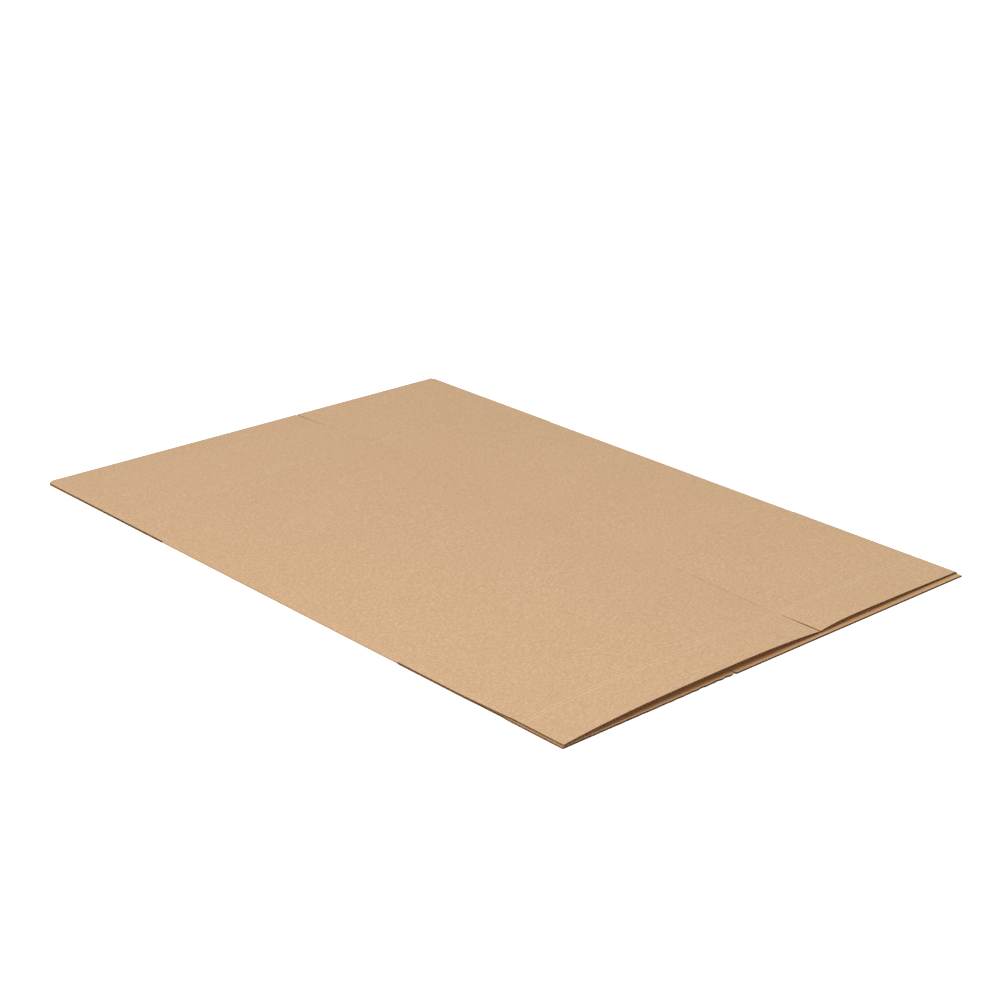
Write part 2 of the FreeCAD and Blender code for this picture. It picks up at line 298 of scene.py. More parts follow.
class StudioSettings(PropertyGroup):
    """The floor, the lamps and the camera."""

    floor_colour: StringProperty(name="Floor", description="Colour of the floor", default="F4F4F4")
    key_power: FloatProperty(
        name="Key power", description="Power of the large soft lamp", default=52.0, unit="POWER")
    fill_low: FloatProperty(
        name="Low fill", description="Strength of the light that comes from the front",
        default=0.42)
    fill_high: FloatProperty(
        name="High fill", description="Strength of the light that comes from above and behind",
        default=0.90)
    lens: FloatProperty(
        name="Lens", description="Focal length of the camera", default=77.644, unit="CAMERA")
    place: FloatVectorProperty(
        name="Camera place", description="Where the camera stands",
        default=(-2.55323, -2.74669, 1.56168), subtype="TRANSLATION")
    azimuth: FloatProperty(
        name="Azimuth", description="Direction of the view, from along +Y towards +X",
        default=math.radians(43.2872), subtype="ANGLE")
    elevation: FloatProperty(
        name="Elevation", description="Angle of the view below the horizon",
        default=math.radians(21.8379), subtype="ANGLE")
    roll: FloatProperty(
        name="Roll", description="Turn of the camera about its line of sight",
        default=math.radians(0.9871), subtype="ANGLE")


def eased(stations, share):
    """Value between stations of (share, value), joined by level-ended curves."""
    for (start, low), (end, high) in zip(stations, stations[1:]):
        if share <= end:
            part = max(0.0, (share - start) / (end - start))
            return low + (high - low) * part * part * (3 - 2 * part)
    return stations[-1][1]


def swell(share, along, crowns, full):
    """Swell across a panel: nothing at its sides and one at the crown."""
    crown = eased(crowns, along)
    side = crown if share < crown else 1 - crown
    power = eased(full[0] if share < crown else full[1], along)
    return 1 - abs((share - crown) / side) ** power


def bell(distance, width):
    """Smooth bump, one at no distance and nothing beyond half the width."""
    reach = min(1.0, abs(distance) / (width / 2))
    return 0.5 + 0.5 * math.cos(math.pi * reach)


def in_body(y):
    """Whether a place along the length is between the creases of the flaps."""
    return NEAR_CREASE <= y <= FAR_CREASE


def free_edge(y):
    """Distance from the nearer free end, and whether that is the near one."""
    near, far = max(0.0, y - NEAR_END), max(0.0, FAR_END - y)
    return min(near, far), near < far


def slipped(x, y, upper):
    """Place along the length after the layer's slip towards the near end."""
    end, near = free_edge(y)
    full = (0.0 if near else UPPER_SLIP) if upper else LOWER_SLIP
    slip = full * (x - LEFT) / WIDTH
    if near and not upper and x < LOWER_CORNER:
        worn = eased(TORN_ACROSS, x - LEFT)
        slip -= TORN_DEPTH * worn * (TORN_EVEN + TORN_RAGGED * math.sin(x / TORN_WAVE))
    return y - slip * max(0.0, 1 - end / SLIP_REACH)


class FoldedSheet:
    """The one sheet of board, bent round two corners and lying in two layers.

    A point of it is found from a column round the girth, a place along the length, and
    a depth from the outer face.
    """

    def __init__(self, sizes):
        self.sizes = sizes
        self.board = sizes.thickness
        self.swell_left = LEFT + self.board + LAYER_GAP / 2
        self.swell_right = RIGHT - self.board - LAYER_GAP / 2

    def thickness(self, x, y):
        """Thickness of the board, which is crushed along the folded sides."""
        left = eased(CRUSH_ALONG, y - NEAR_END) * eased(CRUSH_ACROSS, x - LEFT)
        right = eased(CRUSH_ACROSS, RIGHT - x)
        return self.board - self.sizes.side_crush * max(left, right)

    def squeezed(self, depth, thickness):
        """Depth in the crushed board: the facings keep their thickness, the core doesn't."""
        facing = self.sizes.facing
        if depth <= facing:
            return depth
        if depth >= self.board - facing:
            return thickness - (self.board - depth)
        core = self.board - 2 * facing
        return facing + (depth - facing) * (thickness - 2 * facing) / core

    def height(self, x, y):
        """Height of the upper layer's outer face."""
        along = (y - NEAR_END) / LENGTH
        valley = eased(VALLEY_RISE, along)
        base = 2 * self.thickness(x, y) + LAYER_GAP
        x = min(max(x, self.swell_left), self.swell_right)
        if x <= UPPER_CORNER:
            share = (x - self.swell_left) / (UPPER_CORNER - self.swell_left)
            rise = eased(LONG_RISE, along) * swell(share, along, LONG_CROWN, LONG_FULL)
            return base + rise + valley * share
        share = (x - UPPER_CORNER) / (self.swell_right - UPPER_CORNER)
        rise = eased(SHORT_RISE, along) * swell(share, along, SHORT_CROWN, SHORT_FULL)
        return base + rise + valley * (1 - share)

    def pressed(self, x, y):
        """Depth of the creases and pressed lines."""
        sizes = self.sizes
        across = (x - LEFT) / WIDTH
        depth = 0.0
        for crease in (NEAR_CREASE, FAR_CREASE):
            depth += sizes.crease_depth * bell(y - crease, sizes.crease_width)
        for middle, side, shows in self.press_lines():
            line = bell(y - middle - side, sizes.press_width)
            depth += sizes.press_depth * line * eased(shows, across)
        return depth

    def press_lines(self):
        """The pressed lines: middle of the pair, distance from it, and how they show."""
        half = self.sizes.press_spacing / 2
        pairs = (
            (NEAR_END + self.sizes.press_near, NEAR_PRESS_SHOWS),
            (FAR_END - self.sizes.press_far, FAR_PRESS_SHOWS),
        )
        return [(middle, side, shows) for middle, shows in pairs for side in (-half, half)]

    def fold_radius(self, y):
        """Radius of a fold's outer face."""
        return self.thickness(LEFT, y) + LAYER_GAP / 2

    def fold_middle(self, name, y):
        """Middle of a fold's round, across the box."""
        inset = FOLD_SETBACK + self.fold_radius(y)
        return LEFT + inset if name == "left_fold" else RIGHT - inset

    def slot_half(self, y, upper):
        """Half the width of a slot between two flaps, or of the seam in the body."""
        if in_body(y):
            return 0.0 if upper else SEAM_GAP / 2
        end, near = free_edge(y)
        widths = LOWER_SLOT if not upper else (NEAR_SLOT if near else FAR_SLOT)
        return eased(widths, end) / 2

    def panel(self, name, y, recess=0.0):
        """Left and right limits of a panel at a place along the length."""
        upper = name.startswith("upper")
        half = self.slot_half(y, upper)
        if in_body(y):
            left = self.fold_middle("left_fold", y)
            right = self.fold_middle("right_fold", y)
            rounding = 0.0
        else:
            left = LEFT + eased(UPPER_SETBACK if upper else LOWER_SETBACK, y - NEAR_END)
            right = RIGHT - SIDE_SETBACK
            short = max(0.0, CORNER_RADIUS - free_edge(y)[0])
            rounding = recess + CORNER_RADIUS - math.sqrt(CORNER_RADIUS ** 2 - short ** 2)
        limits = {
            "upper_long": (left, UPPER_CORNER - half),
            "upper_short": (UPPER_CORNER + half, right),
            "lower_long": (LOWER_CORNER + half, right),
            "lower_short": (left, LOWER_CORNER - half),
        }[name]
        return limits[0] + rounding, limits[1] - rounding

    def nip(self, x, y, left, right):
        """How far the facings are nipped together near a cut edge or a corner crease."""
        side = min(x - left, right - x)
        strength = CORNER_NIP
        if not in_body(y):
            at_slot = side < min(x - LEFT, RIGHT - x) - SLOT_WIDEST
            strength = min(1.0, self.slot_half(y, True) / SLOT_WIDEST) if at_slot else 1.0
        end = free_edge(y)[0]
        close = max(strength * math.exp(-side / NIP_REACH), math.exp(-end / NIP_REACH))
        return self.sizes.edge_crush * close

    def point(self, column, y, depth, recess=0.0):
        """Place of a point of the board."""
        name, share = column
        if name in ("left_fold", "right_fold"):
            return self.fold_point(name, share, y, depth)
        left, right = self.panel(name, y, recess)
        x = left + (right - left) * share
        upper = name.startswith("upper")
        along = slipped(x, y, upper)
        middle = self.board / 2
        sunk = self.pressed(x, y) * (self.board - depth) / self.board
        depth += self.nip(x, y, left, right) * (middle - depth) / middle
        depth = self.squeezed(depth, self.thickness(x, y)) + sunk
        return Vector((x, along, self.height(x, along) - depth if upper else depth))

    def fold_point(self, name, share, y, depth):
        """Place of a point of the bent board. The share runs up the left fold and down the
        right."""
        sign = -1.0 if name == "left_fold" else 1.0
        climb = share - 0.5 if name == "left_fold" else 0.5 - share
        middle = self.fold_middle(name, y)
        full = self.fold_radius(y)
        sunk = self.pressed(middle, y) * (self.board - depth) / self.board
        radius = full - self.squeezed(depth, self.thickness(middle, y)) - sunk
        angle = math.pi * climb
        across = middle + sign * radius * math.cos(angle)
        return Vector((across, y, full + radius * math.sin(angle)))


def spaced(length, step, fine):
    """Shares from 0 to 1 with steps that grow from fine at both ends."""
    half = [0.0]
    gap = fine
    while half[-1] + gap < length / 2:
        half.append(half[-1] + gap)
        gap = min(step, gap * STEP_GROWTH)
    left = [place / length for place in half]
    return left + [1 - share for share in reversed(left)]


def girth_columns(sheet):
    """Columns round the girth, from the seam up one side, over the top and back."""
    step = sheet.sizes.mesh_step
    long_shares = spaced(LONG_PANEL, step, EDGE_STEP)
    short_shares = spaced(WIDTH - LONG_PANEL, step, EDGE_STEP)
    fold_shares = [(i + 1) / (FOLD_STEPS + 1) for i in range(FOLD_STEPS)]
    columns = [("lower_short", 1 - share) for share in short_shares]
    columns += [("left_fold", share) for share in fold_shares]
    columns += [("upper_long", share) for share in long_shares]
    columns += [("upper_short", share) for share in short_shares]
    columns += [("right_fold", share) for share in fold_shares]
    columns += [("lower_long", 1 - share) for share in long_shares]
    return columns


def length_rows(sheet):
    """Places along the length, close together at the ends and at every line."""
    sizes = sheet.sizes
    shares = spaced(LENGTH, sizes.mesh_step, EDGE_STEP)
    rows = [NEAR_END + LENGTH * share for share in shares]
    lines = [(NEAR_CREASE, sizes.crease_width), (FAR_CREASE, sizes.crease_width)]
    lines += [(middle + side, sizes.press_width) for middle, side, shows in sheet.press_lines()]
    for place, width in lines:
        rows = [y for y in rows if abs(y - place) > width / 2 + EDGE_STEP]
    for place, width in lines:
        rows += [place + width * (i / LINE_STEPS - 0.5) for i in range(LINE_STEPS + 1)]
    return sorted(rows)


def shell_mesh(name, sheet, outer, inner, recess):
    """Closed mesh of one facing of the folded sheet, between two depths."""
    columns = girth_columns(sheet)
    rows = length_rows(sheet)
    insets = [recess * eased(CRUSH_ALONG, y - NEAR_END) for y in rows]
    wide, long = len(columns), len(rows)

    def present(i, j):
        if not (0 <= i < wide - 1 and 0 <= j < long - 1):
            return False
        if columns[i][0] == columns[i + 1][0] and not columns[i][0].endswith("fold"):
            return True
        return in_body((rows[j] + rows[j + 1]) / 2)

    numbers = {}
    places = []

    def vertex(i, j, depth):
        key = (i, j, depth)
        if key not in numbers:
            numbers[key] = len(places)
            places.append(sheet.point(columns[i], rows[j], depth, insets[j]))
        return numbers[key]

    def quad(corners):
        return [vertex(*corner) for corner in corners]

    faces, slots = [], []
    for i in range(wide - 1):
        for j in range(long - 1):
            if not present(i, j):
                continue
            corners = [(i, j), (i + 1, j), (i + 1, j + 1), (i, j + 1)]
            faces.append(quad([corner + (outer,) for corner in corners]))
            faces.append(quad([corner + (inner,) for corner in reversed(corners)]))
            slots += [SURFACE, SURFACE]
            sides = [
                (i - 1, j, (i, j), (i, j + 1)),
                (i + 1, j, (i + 1, j + 1), (i + 1, j)),
                (i, j - 1, (i + 1, j), (i, j)),
                (i, j + 1, (i, j + 1), (i + 1, j + 1)),
            ]
            for next_i, next_j, start, end in sides:
                if not present(next_i, next_j):
                    edge = [start + (outer,), end + (outer,), end + (inner,), start + (inner,)]
                    faces.append(quad(edge))
                    slots.append(CUT)
    mesh = bpy.data.meshes.new(name)
    mesh.from_pydata([tuple(place) for place in places], [], faces)
    mesh.polygons.foreach_set("material_index", slots)
    keys = sorted(numbers, key=numbers.get)
    spots = [(columns[i], rows[j]) for i, j, depth in keys]
    add_painted_rim_shade(mesh, sheet, spots)
    add_painted_groove_light(mesh, sheet, spots)
    mesh.shade_smooth()
    mesh.update()
    return mesh


def add_painted_rim_shade(mesh, sheet, spots):
    """Point attribute for the papers: painted shade, one along the far end and right side and
    over the whole right fold, falling to nothing inwards."""
    painted_rim_shade = []
    for (name, share), y in spots:
        nearest = FAR_END - y
        if name == "upper_short":
            left, right = sheet.panel(name, y)
            nearest = min(nearest, (1 - share) * (right - left))
        painted_rim_shade.append(max(0.0, 1 - nearest / RIM_SHADE_BAND) if name != "right_fold" else 1.0)
    attribute = mesh.attributes.new("painted_rim_shade", "FLOAT", "POINT")
    attribute.data.foreach_set("value", painted_rim_shade)


def add_painted_groove_light(mesh, sheet, spots):
    """Point attribute for the papers: above nothing for a painted highlight on the near wall of
    a pressed line, and below it for painted shade on the far wall."""
    tones = []
    width = sheet.sizes.press_width
    for (name, share), y in spots:
        tone = 0.0
        if name.startswith("upper"):
            left, right = sheet.panel(name, y)
            across = (left + (right - left) * share - LEFT) / WIDTH
            for middle, side, shows in sheet.press_lines():
                away = y - middle - side
                wall = bell(away, width) * -away / (width / 4)
                tone += wall * eased(shows, across)
        tones.append(max(-1.0, min(1.0, tone)))
    attribute = mesh.attributes.new("pressed", "FLOAT", "POINT")
    attribute.data.foreach_set("value", tones)


def linear_colour(hex_value):
    """Linear colour from an sRGB hex value."""
    channels = [int(hex_value[i:i + 2], 16) / 255 for i in (0, 2, 4)]
    linear = [c / 12.92 if c <= 0.04045 else ((c + 0.055) / 1.055) ** 2.4 for c in channels]
    return (*linear, 1.0)


def add_node(tree, kind, settings=None, links=None):
    """Adds a node, sets its settings or input values, and links its inputs."""
    node = tree.nodes.new(kind)
    for key, value in (settings or {}).items():
        if isinstance(key, str) and hasattr(node, key):
            setattr(node, key, value)
        else:
            node.inputs[key].default_value = value
    for key, source in (links or {}).items():
        tree.links.new(source, node.inputs[key])
    return node


def new_material(name):
    """Empty node material and its tree."""
    material = bpy.data.materials.new(name)
    material.use_nodes = True
    material.node_tree.nodes.clear()
    return material, material.node_tree


def paper_grain(tree, scale_mm, stretch):
    """Noise with its grain of a real size, drawn out along the paper's fibres."""
    place = add_node(tree, "ShaderNodeTexCoord")
    turned = add_node(tree, "ShaderNodeMapping", {"Scale": stretch},
                      {"Vector": place.outputs["Object"]})
    return add_node(
        tree, "ShaderNodeTexNoise",
        {"Scale": 1000 / scale_mm, "Detail": 4.0, "Roughness": 0.6},
        {"Vector": turned.outputs["Vector"]})


def kraft_liner(colours):
    """Unbleached kraft liner, calendered on the machine: matt, warm tan, finely mottled by
    its fibres, with clouds where the pulp lay thicker and a few specks of bark."""
    material, tree = new_material("kraft_liner")
    light, dark = linear_colour(colours.outer), linear_colour(colours.outer_dark)
    colour = None
    for size, strength in LINER_LAYERS:
        grain = paper_grain(tree, size, LINER_STRETCH)
        mottle = add_node(
            tree, "ShaderNodeMapRange",
            {"From Min": MOTTLE_LOW, "From Max": MOTTLE_HIGH, "To Min": 0.0, "To Max": strength},
            {"Value": grain.outputs["Fac"]})
        mix = add_node(
            tree, "ShaderNodeMix", {"data_type": "RGBA", MIX_FIRST: light, MIX_SECOND: dark},
            {MIX_FACTOR: mottle.outputs["Result"]})
        if colour is not None:
            tree.links.new(colour, mix.inputs[MIX_FIRST])
        colour = mix.outputs[MIX_RESULT]
    # Painted shade in the cut-edge colour along the far end, the right side and the right fold.
    painted_rim_shade = add_node(tree, "ShaderNodeAttribute", {"attribute_name": "painted_rim_shade"})
    shade_strength = add_node(tree, "ShaderNodeMath", {"operation": "MULTIPLY", 1: RIM_SHADE_TINT},
                   {0: painted_rim_shade.outputs["Fac"]})
    rim_shaded = add_node(
        tree, "ShaderNodeMix", {"data_type": "RGBA", MIX_SECOND: linear_colour(colours.cut)},
        {MIX_FACTOR: shade_strength.outputs[0], MIX_FIRST: colour})
    colour = rim_shaded.outputs[MIX_RESULT]
    # Painted highlight on the near wall of each pressed line, and painted shade in the speck colour
    # on its far wall.
    pressed = add_node(tree, "ShaderNodeAttribute", {"attribute_name": "pressed"})
    for reach, tint in ((GROOVE_HIGHLIGHT_TINT, colours.groove_highlight), (-GROOVE_SHADE_TINT, colours.speck)):
        wall = add_node(
            tree, "ShaderNodeMath", {"operation": "MULTIPLY", "use_clamp": True, 1: reach},
            {0: pressed.outputs["Fac"]})
        groove_painted = add_node(
            tree, "ShaderNodeMix", {"data_type": "RGBA", MIX_SECOND: linear_colour(tint)},
            {MIX_FACTOR: wall.outputs[0], MIX_FIRST: colour})
        colour = groove_painted.outputs[MIX_RESULT]
    place = add_node(tree, "ShaderNodeTexCoord")
    for spot, size, strength in SPECKS:
        away = add_node(tree, "ShaderNodeVectorMath", {"operation": "DISTANCE", 1: spot},
                        {0: place.outputs["Object"]})
        inside = add_node(
            tree, "ShaderNodeMapRange",
            {"From Min": size * SPECK_CORE, "From Max": size, "To Min": strength, "To Max": 0.0},
            {"Value": away.outputs["Value"]})
        fleck = add_node(
            tree, "ShaderNodeMix", {"data_type": "RGBA", MIX_SECOND: linear_colour(colours.speck)},
            {MIX_FACTOR: inside.outputs["Result"], MIX_FIRST: colour})
        colour = fleck.outputs[MIX_RESULT]
    fine = paper_grain(tree, FIBRE_MM, FIBRE_STRETCH)
    bump = add_node(tree, "ShaderNodeBump", {"Strength": 0.25, "Distance": FIBRE_RELIEF},
                    {"Height": fine.outputs["Fac"]})
    surface = add_node(
        tree, "ShaderNodeBsdfPrincipled", {"Roughness": 0.85, "Specular IOR Level": 0.25},
        {"Base Color": colour, "Normal": bump.outputs["Normal"]})
    add_node(tree, "ShaderNodeOutputMaterial", links={"Surface": surface.outputs["BSDF"]})
    return material


def raw_paper(name, hex_value, grain_mm):
    """Paper of the board's inside, unsized and matt, with a coarse mottle."""
    material, tree = new_material(name)
    grain = paper_grain(tree, grain_mm, FIBRE_STRETCH)
    base = linear_colour(hex_value)
    shade = tuple(channel * MOTTLE_SHADE for channel in base[:3]) + (1.0,)
    mottle = add_node(
        tree, "ShaderNodeMapRange", {"From Min": MOTTLE_LOW, "From Max": MOTTLE_HIGH},
        {"Value": grain.outputs["Fac"]})
    colour = add_node(
        tree, "ShaderNodeMix", {"data_type": "RGBA", MIX_FIRST: base, MIX_SECOND: shade},
        {MIX_FACTOR: mottle.outputs["Result"]})
    bump = add_node(tree, "ShaderNodeBump", {"Strength": 0.3, "Distance": FIBRE_RELIEF},
                    {"Height": grain.outputs["Fac"]})
    surface = add_node(
        tree, "ShaderNodeBsdfPrincipled", {"Roughness": 0.9, "Specular IOR Level": 0.2},
        {"Base Color": colour.outputs[MIX_RESULT], "Normal": bump.outputs["Normal"]})
    add_node(tree, "ShaderNodeOutputMaterial", links={"Surface": surface.outputs["BSDF"]})
    return material


def place_piece(name, mesh, materials):
    """Object at the origin that rides on the one body, with its finish."""
    piece = bpy.data.objects.new(name, mesh)
    bpy.context.scene.collection.objects.link(piece)
    for material in materials:
        mesh.materials.append(material)
    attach(piece, BODY)
    return piece


class FLATBOX_OT_facings(Operator):
    """Build the two flat papers of the board, folded round the box"""

    bl_idname = "flatbox.facings"
    bl_label = "Facings"

    def execute(self, context):
        sizes = context.scene.flatbox_sizes
        colours = context.scene.flatbox_colours
        sheet = FoldedSheet(sizes)
        # Die-cut edge of the kraft papers: fuzzy fibre ends, darker than the face, and darkened
        # further with painted shade for the shadowed cut ends.
        cut = raw_paper("cut_edge_with_painted_shade", colours.cut, CUT_MM)
        outer = shell_mesh("outer_facing", sheet, 0.0, sizes.facing, 0.0)
        piece = place_piece("outer_facing", outer, [kraft_liner(colours), cut])
        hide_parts(NODE)
        # Test liner of the inside: recycled pulp, a little greyer and rougher than kraft, its tan
        # painted lighter to stand in for light reaching into the gap between the layers.
        inside = raw_paper("test_liner_painted_light", colours.inner, TEST_LINER_MM)
        depth = sizes.thickness - sizes.facing
        inner = shell_mesh("inner_facing", sheet, depth, sizes.thickness, INNER_RECESS)
        place_piece("inner_facing", inner, [inside, cut])
        return {"FINISHED"}


def tab_mesh(sizes):
    """Closed slab of crushed board with its corners cut back, on the inside of the seam."""
    low, high = sizes.thickness, sizes.thickness + sizes.tab_thickness
    root = LOWER_CORNER + SEAM_GAP / 2 + TAB_ROOT
    tip = LOWER_CORNER - SEAM_GAP / 2 - sizes.tab_width
    near, far = NEAR_CREASE + TAB_CLEARANCE, FAR_CREASE - TAB_CLEARANCE
    outline = (
        (root, near), (root, far), (LOWER_CORNER, far),
        (tip, far - TAB_TAPER), (tip, near + TAB_TAPER), (LOWER_CORNER, near),
    )
    form = bmesh.new()
    face = form.faces.new([form.verts.new((x, y, low)) for x, y in outline])
    raised = bmesh.ops.extrude_face_region(form, geom=[face])
    top = [item for item in raised["geom"] if isinstance(item, bmesh.types.BMVert)]
    bmesh.ops.translate(form, vec=(0, 0, high - low), verts=top)
    bmesh.ops.bevel(form, geom=list(form.edges), offset=TAB_SOFTNESS, segments=2, affect="EDGES")
    bmesh.ops.recalc_face_normals(form, faces=form.faces)
    mesh = bpy.data.meshes.new("glued_tab")
    form.to_mesh(mesh)
    form.free()
    return mesh


class FLATBOX_OT_tab(Operator):
    """Build the glued tab of the maker's joint, inside the lower layer"""

    bl_idname = "flatbox.tab"
    bl_label = "Glued tab"

    def execute(self, context):
        colours = context.scene.flatbox_colours
        # Kraft liner pressed hard onto the glue: smoother, and darker where glue soaked in.
        paper = raw_paper("pressed_kraft", colours.outer_dark, PRESSED_MM)
        place_piece("glued_tab", tab_mesh(context.scene.flatbox_sizes), [paper])
        return {"FINISHED"}


def flute_tree():
    """Node group for a fluted sheet: one wave, repeated side by side, with a thickness."""
    tree = bpy.data.node_groups.new("Fluted sheet", "GeometryNodeTree")
    sockets = (
        ("Pitch", "NodeSocketFloat"), ("Height", "NodeSocketFloat"),
        ("Thickness", "NodeSocketFloat"), ("Length", "NodeSocketFloat"),
        ("Count", "NodeSocketInt"), ("Rows", "NodeSocketInt"),
        ("Material", "NodeSocketMaterial"),
    )
    for label, kind in sockets:
        tree.interface.new_socket(label, in_out="INPUT", socket_type=kind)
    tree.interface.new_socket("Geometry", in_out="OUTPUT", socket_type="NodeSocketGeometry")
    given = add_node(tree, "NodeGroupInput").outputs
    wave = add_node(
        tree, "GeometryNodeMeshGrid", {"Vertices X": WAVE_STEPS + 1},
        {"Size X": given["Pitch"], "Size Y": given["Length"], "Vertices Y": given["Rows"]})
    position = add_node(tree, "GeometryNodeInputPosition")
    parts = add_node(tree, "ShaderNodeSeparateXYZ", links={"Vector": position.outputs["Position"]})
    turns = add_node(tree, "ShaderNodeMath", {"operation": "DIVIDE"},
                     {0: parts.outputs["X"], 1: given["Pitch"]})
    angle = add_node(tree, "ShaderNodeMath", {"operation": "MULTIPLY", 1: 2 * math.pi},
                     {0: turns.outputs[0]})
    sine = add_node(tree, "ShaderNodeMath", {"operation": "SINE"}, {0: angle.outputs[0]})
    half = add_node(tree, "ShaderNodeMath", {"operation": "MULTIPLY", 1: 0.5}, {0: given["Height"]})
    climb = add_node(tree, "ShaderNodeMath", {"operation": "MULTIPLY"},
                     {0: sine.outputs[0], 1: half.outputs[0]})
    lift = add_node(tree, "ShaderNodeCombineXYZ", links={"Z": climb.outputs[0]})
    bent = add_node(tree, "GeometryNodeSetPosition",
                    links={"Geometry": wave.outputs["Mesh"], "Offset": lift.outputs["Vector"]})
    stride = add_node(tree, "ShaderNodeCombineXYZ", links={"X": given["Pitch"]})
    line = add_node(tree, "GeometryNodeMeshLine",
                    links={"Count": given["Count"], "Offset": stride.outputs["Vector"]})
    repeated = add_node(
        tree, "GeometryNodeInstanceOnPoints",
        links={"Points": line.outputs["Mesh"], "Instance": bent.outputs["Geometry"]})
    real = add_node(tree, "GeometryNodeRealizeInstances",
                    links={"Geometry": repeated.outputs["Instances"]})
    joined = add_node(tree, "GeometryNodeMergeByDistance", {"Distance": MERGE_REACH},
                      {"Geometry": real.outputs["Geometry"]})
    depth = add_node(tree, "ShaderNodeCombineXYZ", links={"Z": given["Thickness"]})
    raised = add_node(tree, "GeometryNodeExtrudeMesh", {"Individual": False},
                      {"Mesh": joined.outputs["Geometry"], "Offset": depth.outputs["Vector"]})
    under = add_node(tree, "GeometryNodeFlipFaces", links={"Mesh": joined.outputs["Geometry"]})
    both = add_node(tree, "GeometryNodeJoinGeometry")
    tree.links.new(raised.outputs["Mesh"], both.inputs["Geometry"])
    tree.links.new(under.outputs["Mesh"], both.inputs["Geometry"])
    closed = add_node(tree, "GeometryNodeMergeByDistance", {"Distance": MERGE_REACH},
                      {"Geometry": both.outputs["Geometry"]})
    painted = add_node(
        tree, "GeometryNodeSetMaterial",
        links={"Geometry": closed.outputs["Geometry"], "Material": given["Material"]})
    add_node(tree, "NodeGroupOutput", links={"Geometry": painted.outputs["Geometry"]})
    return tree


def fluted_mesh(tree, values):
    """Plain mesh of the node group's result for these inputs."""
    carrier = bpy.data.objects.new("flute_carrier", bpy.data.meshes.new("flute_carrier"))
    bpy.context.scene.collection.objects.link(carrier)
    modifier = carrier.modifiers.new("Flutes", "NODES")
    modifier.node_group = tree
    for item in tree.interface.items_tree:
        if item.in_out == "INPUT":
            modifier[item.identifier] = values[item.name]
    bpy.context.view_layer.update()
    graph = bpy.context.evaluated_depsgraph_get()
    mesh = bpy.data.meshes.new_from_object(carrier.evaluated_get(graph), depsgraph=graph)
    bpy.data.objects.remove(carrier)
    return mesh


def lay_flutes(mesh, sheet, name, end, count):
    """Moves a flat fluted sheet into a flap, between its facings."""
    pitch = sheet.sizes.flute_pitch
    near = end == "near"
    start, crease = (NEAR_END, NEAR_CREASE) if near else (FAR_CREASE, FAR_CREASE)
    for vertex in mesh.vertices:
        y = start + vertex.co.y + FLAP_LENGTH / 2
        y = min(max(y, NEAR_END), FAR_END)
        if abs(y - crease) < EDGE_STEP:
            y += -EDGE_STEP if near else EDGE_STEP
        share = (vertex.co.x + pitch / 2) / (count * pitch)
        squeeze = 1 - CREASE_SQUEEZE * bell(y - crease, CRUSH_WIDTH)
        depth = sheet.board / 2 - vertex.co.z * squeeze
        vertex.co = sheet.point((name, share), y, depth, FLUTING_RECESS)


def joined_mesh(name, meshes):
    """One mesh from several."""
    places, faces = [], []
    for mesh in meshes:
        first = len(places)
        places += [tuple(vertex.co) for vertex in mesh.vertices]
        faces += [[first + number for number in face.vertices] for face in mesh.polygons]
    whole = bpy.data.meshes.new(name)
    whole.from_pydata(places, [], faces)
    whole.update()
    return whole


class FLATBOX_OT_fluting(Operator):
    """Build the fluted sheet inside the flaps at both ends"""

    bl_idname = "flatbox.fluting"
    bl_label = "Fluting"

    def execute(self, context):
        sizes = context.scene.flatbox_sizes
        sheet = FoldedSheet(sizes)
        # Semi-chemical fluting medium: coarse, dull and darker than the liners, darkened further
        # with painted shade for the shadowed flute openings.
        colours = context.scene.flatbox_colours
        paper = raw_paper("fluting_with_painted_shade", colours.fluting, FLUTING_MM)
        tree = flute_tree()
        height = sizes.thickness - 2 * sizes.facing - sizes.fluting
        for end in ("near", "far"):
            meshes = []
            for name in ("upper_long", "upper_short", "lower_long", "lower_short"):
                left, right = sheet.panel(name, NEAR_END + CORNER_RADIUS)
                count = round((right - left) / sizes.flute_pitch)
                values = {
                    "Pitch": sizes.flute_pitch, "Height": height, "Thickness": sizes.fluting,
                    "Length": FLAP_LENGTH, "Count": count, "Rows": FLUTE_ROWS, "Material": paper,
                }
                mesh = fluted_mesh(tree, values)
                lay_flutes(mesh, sheet, name, end, count)
                meshes.append(mesh)
            piece = place_piece(end + "_fluting", joined_mesh(end + "_fluting", meshes), [paper])
            piece.data.shade_smooth()
        return {"FINISHED"}


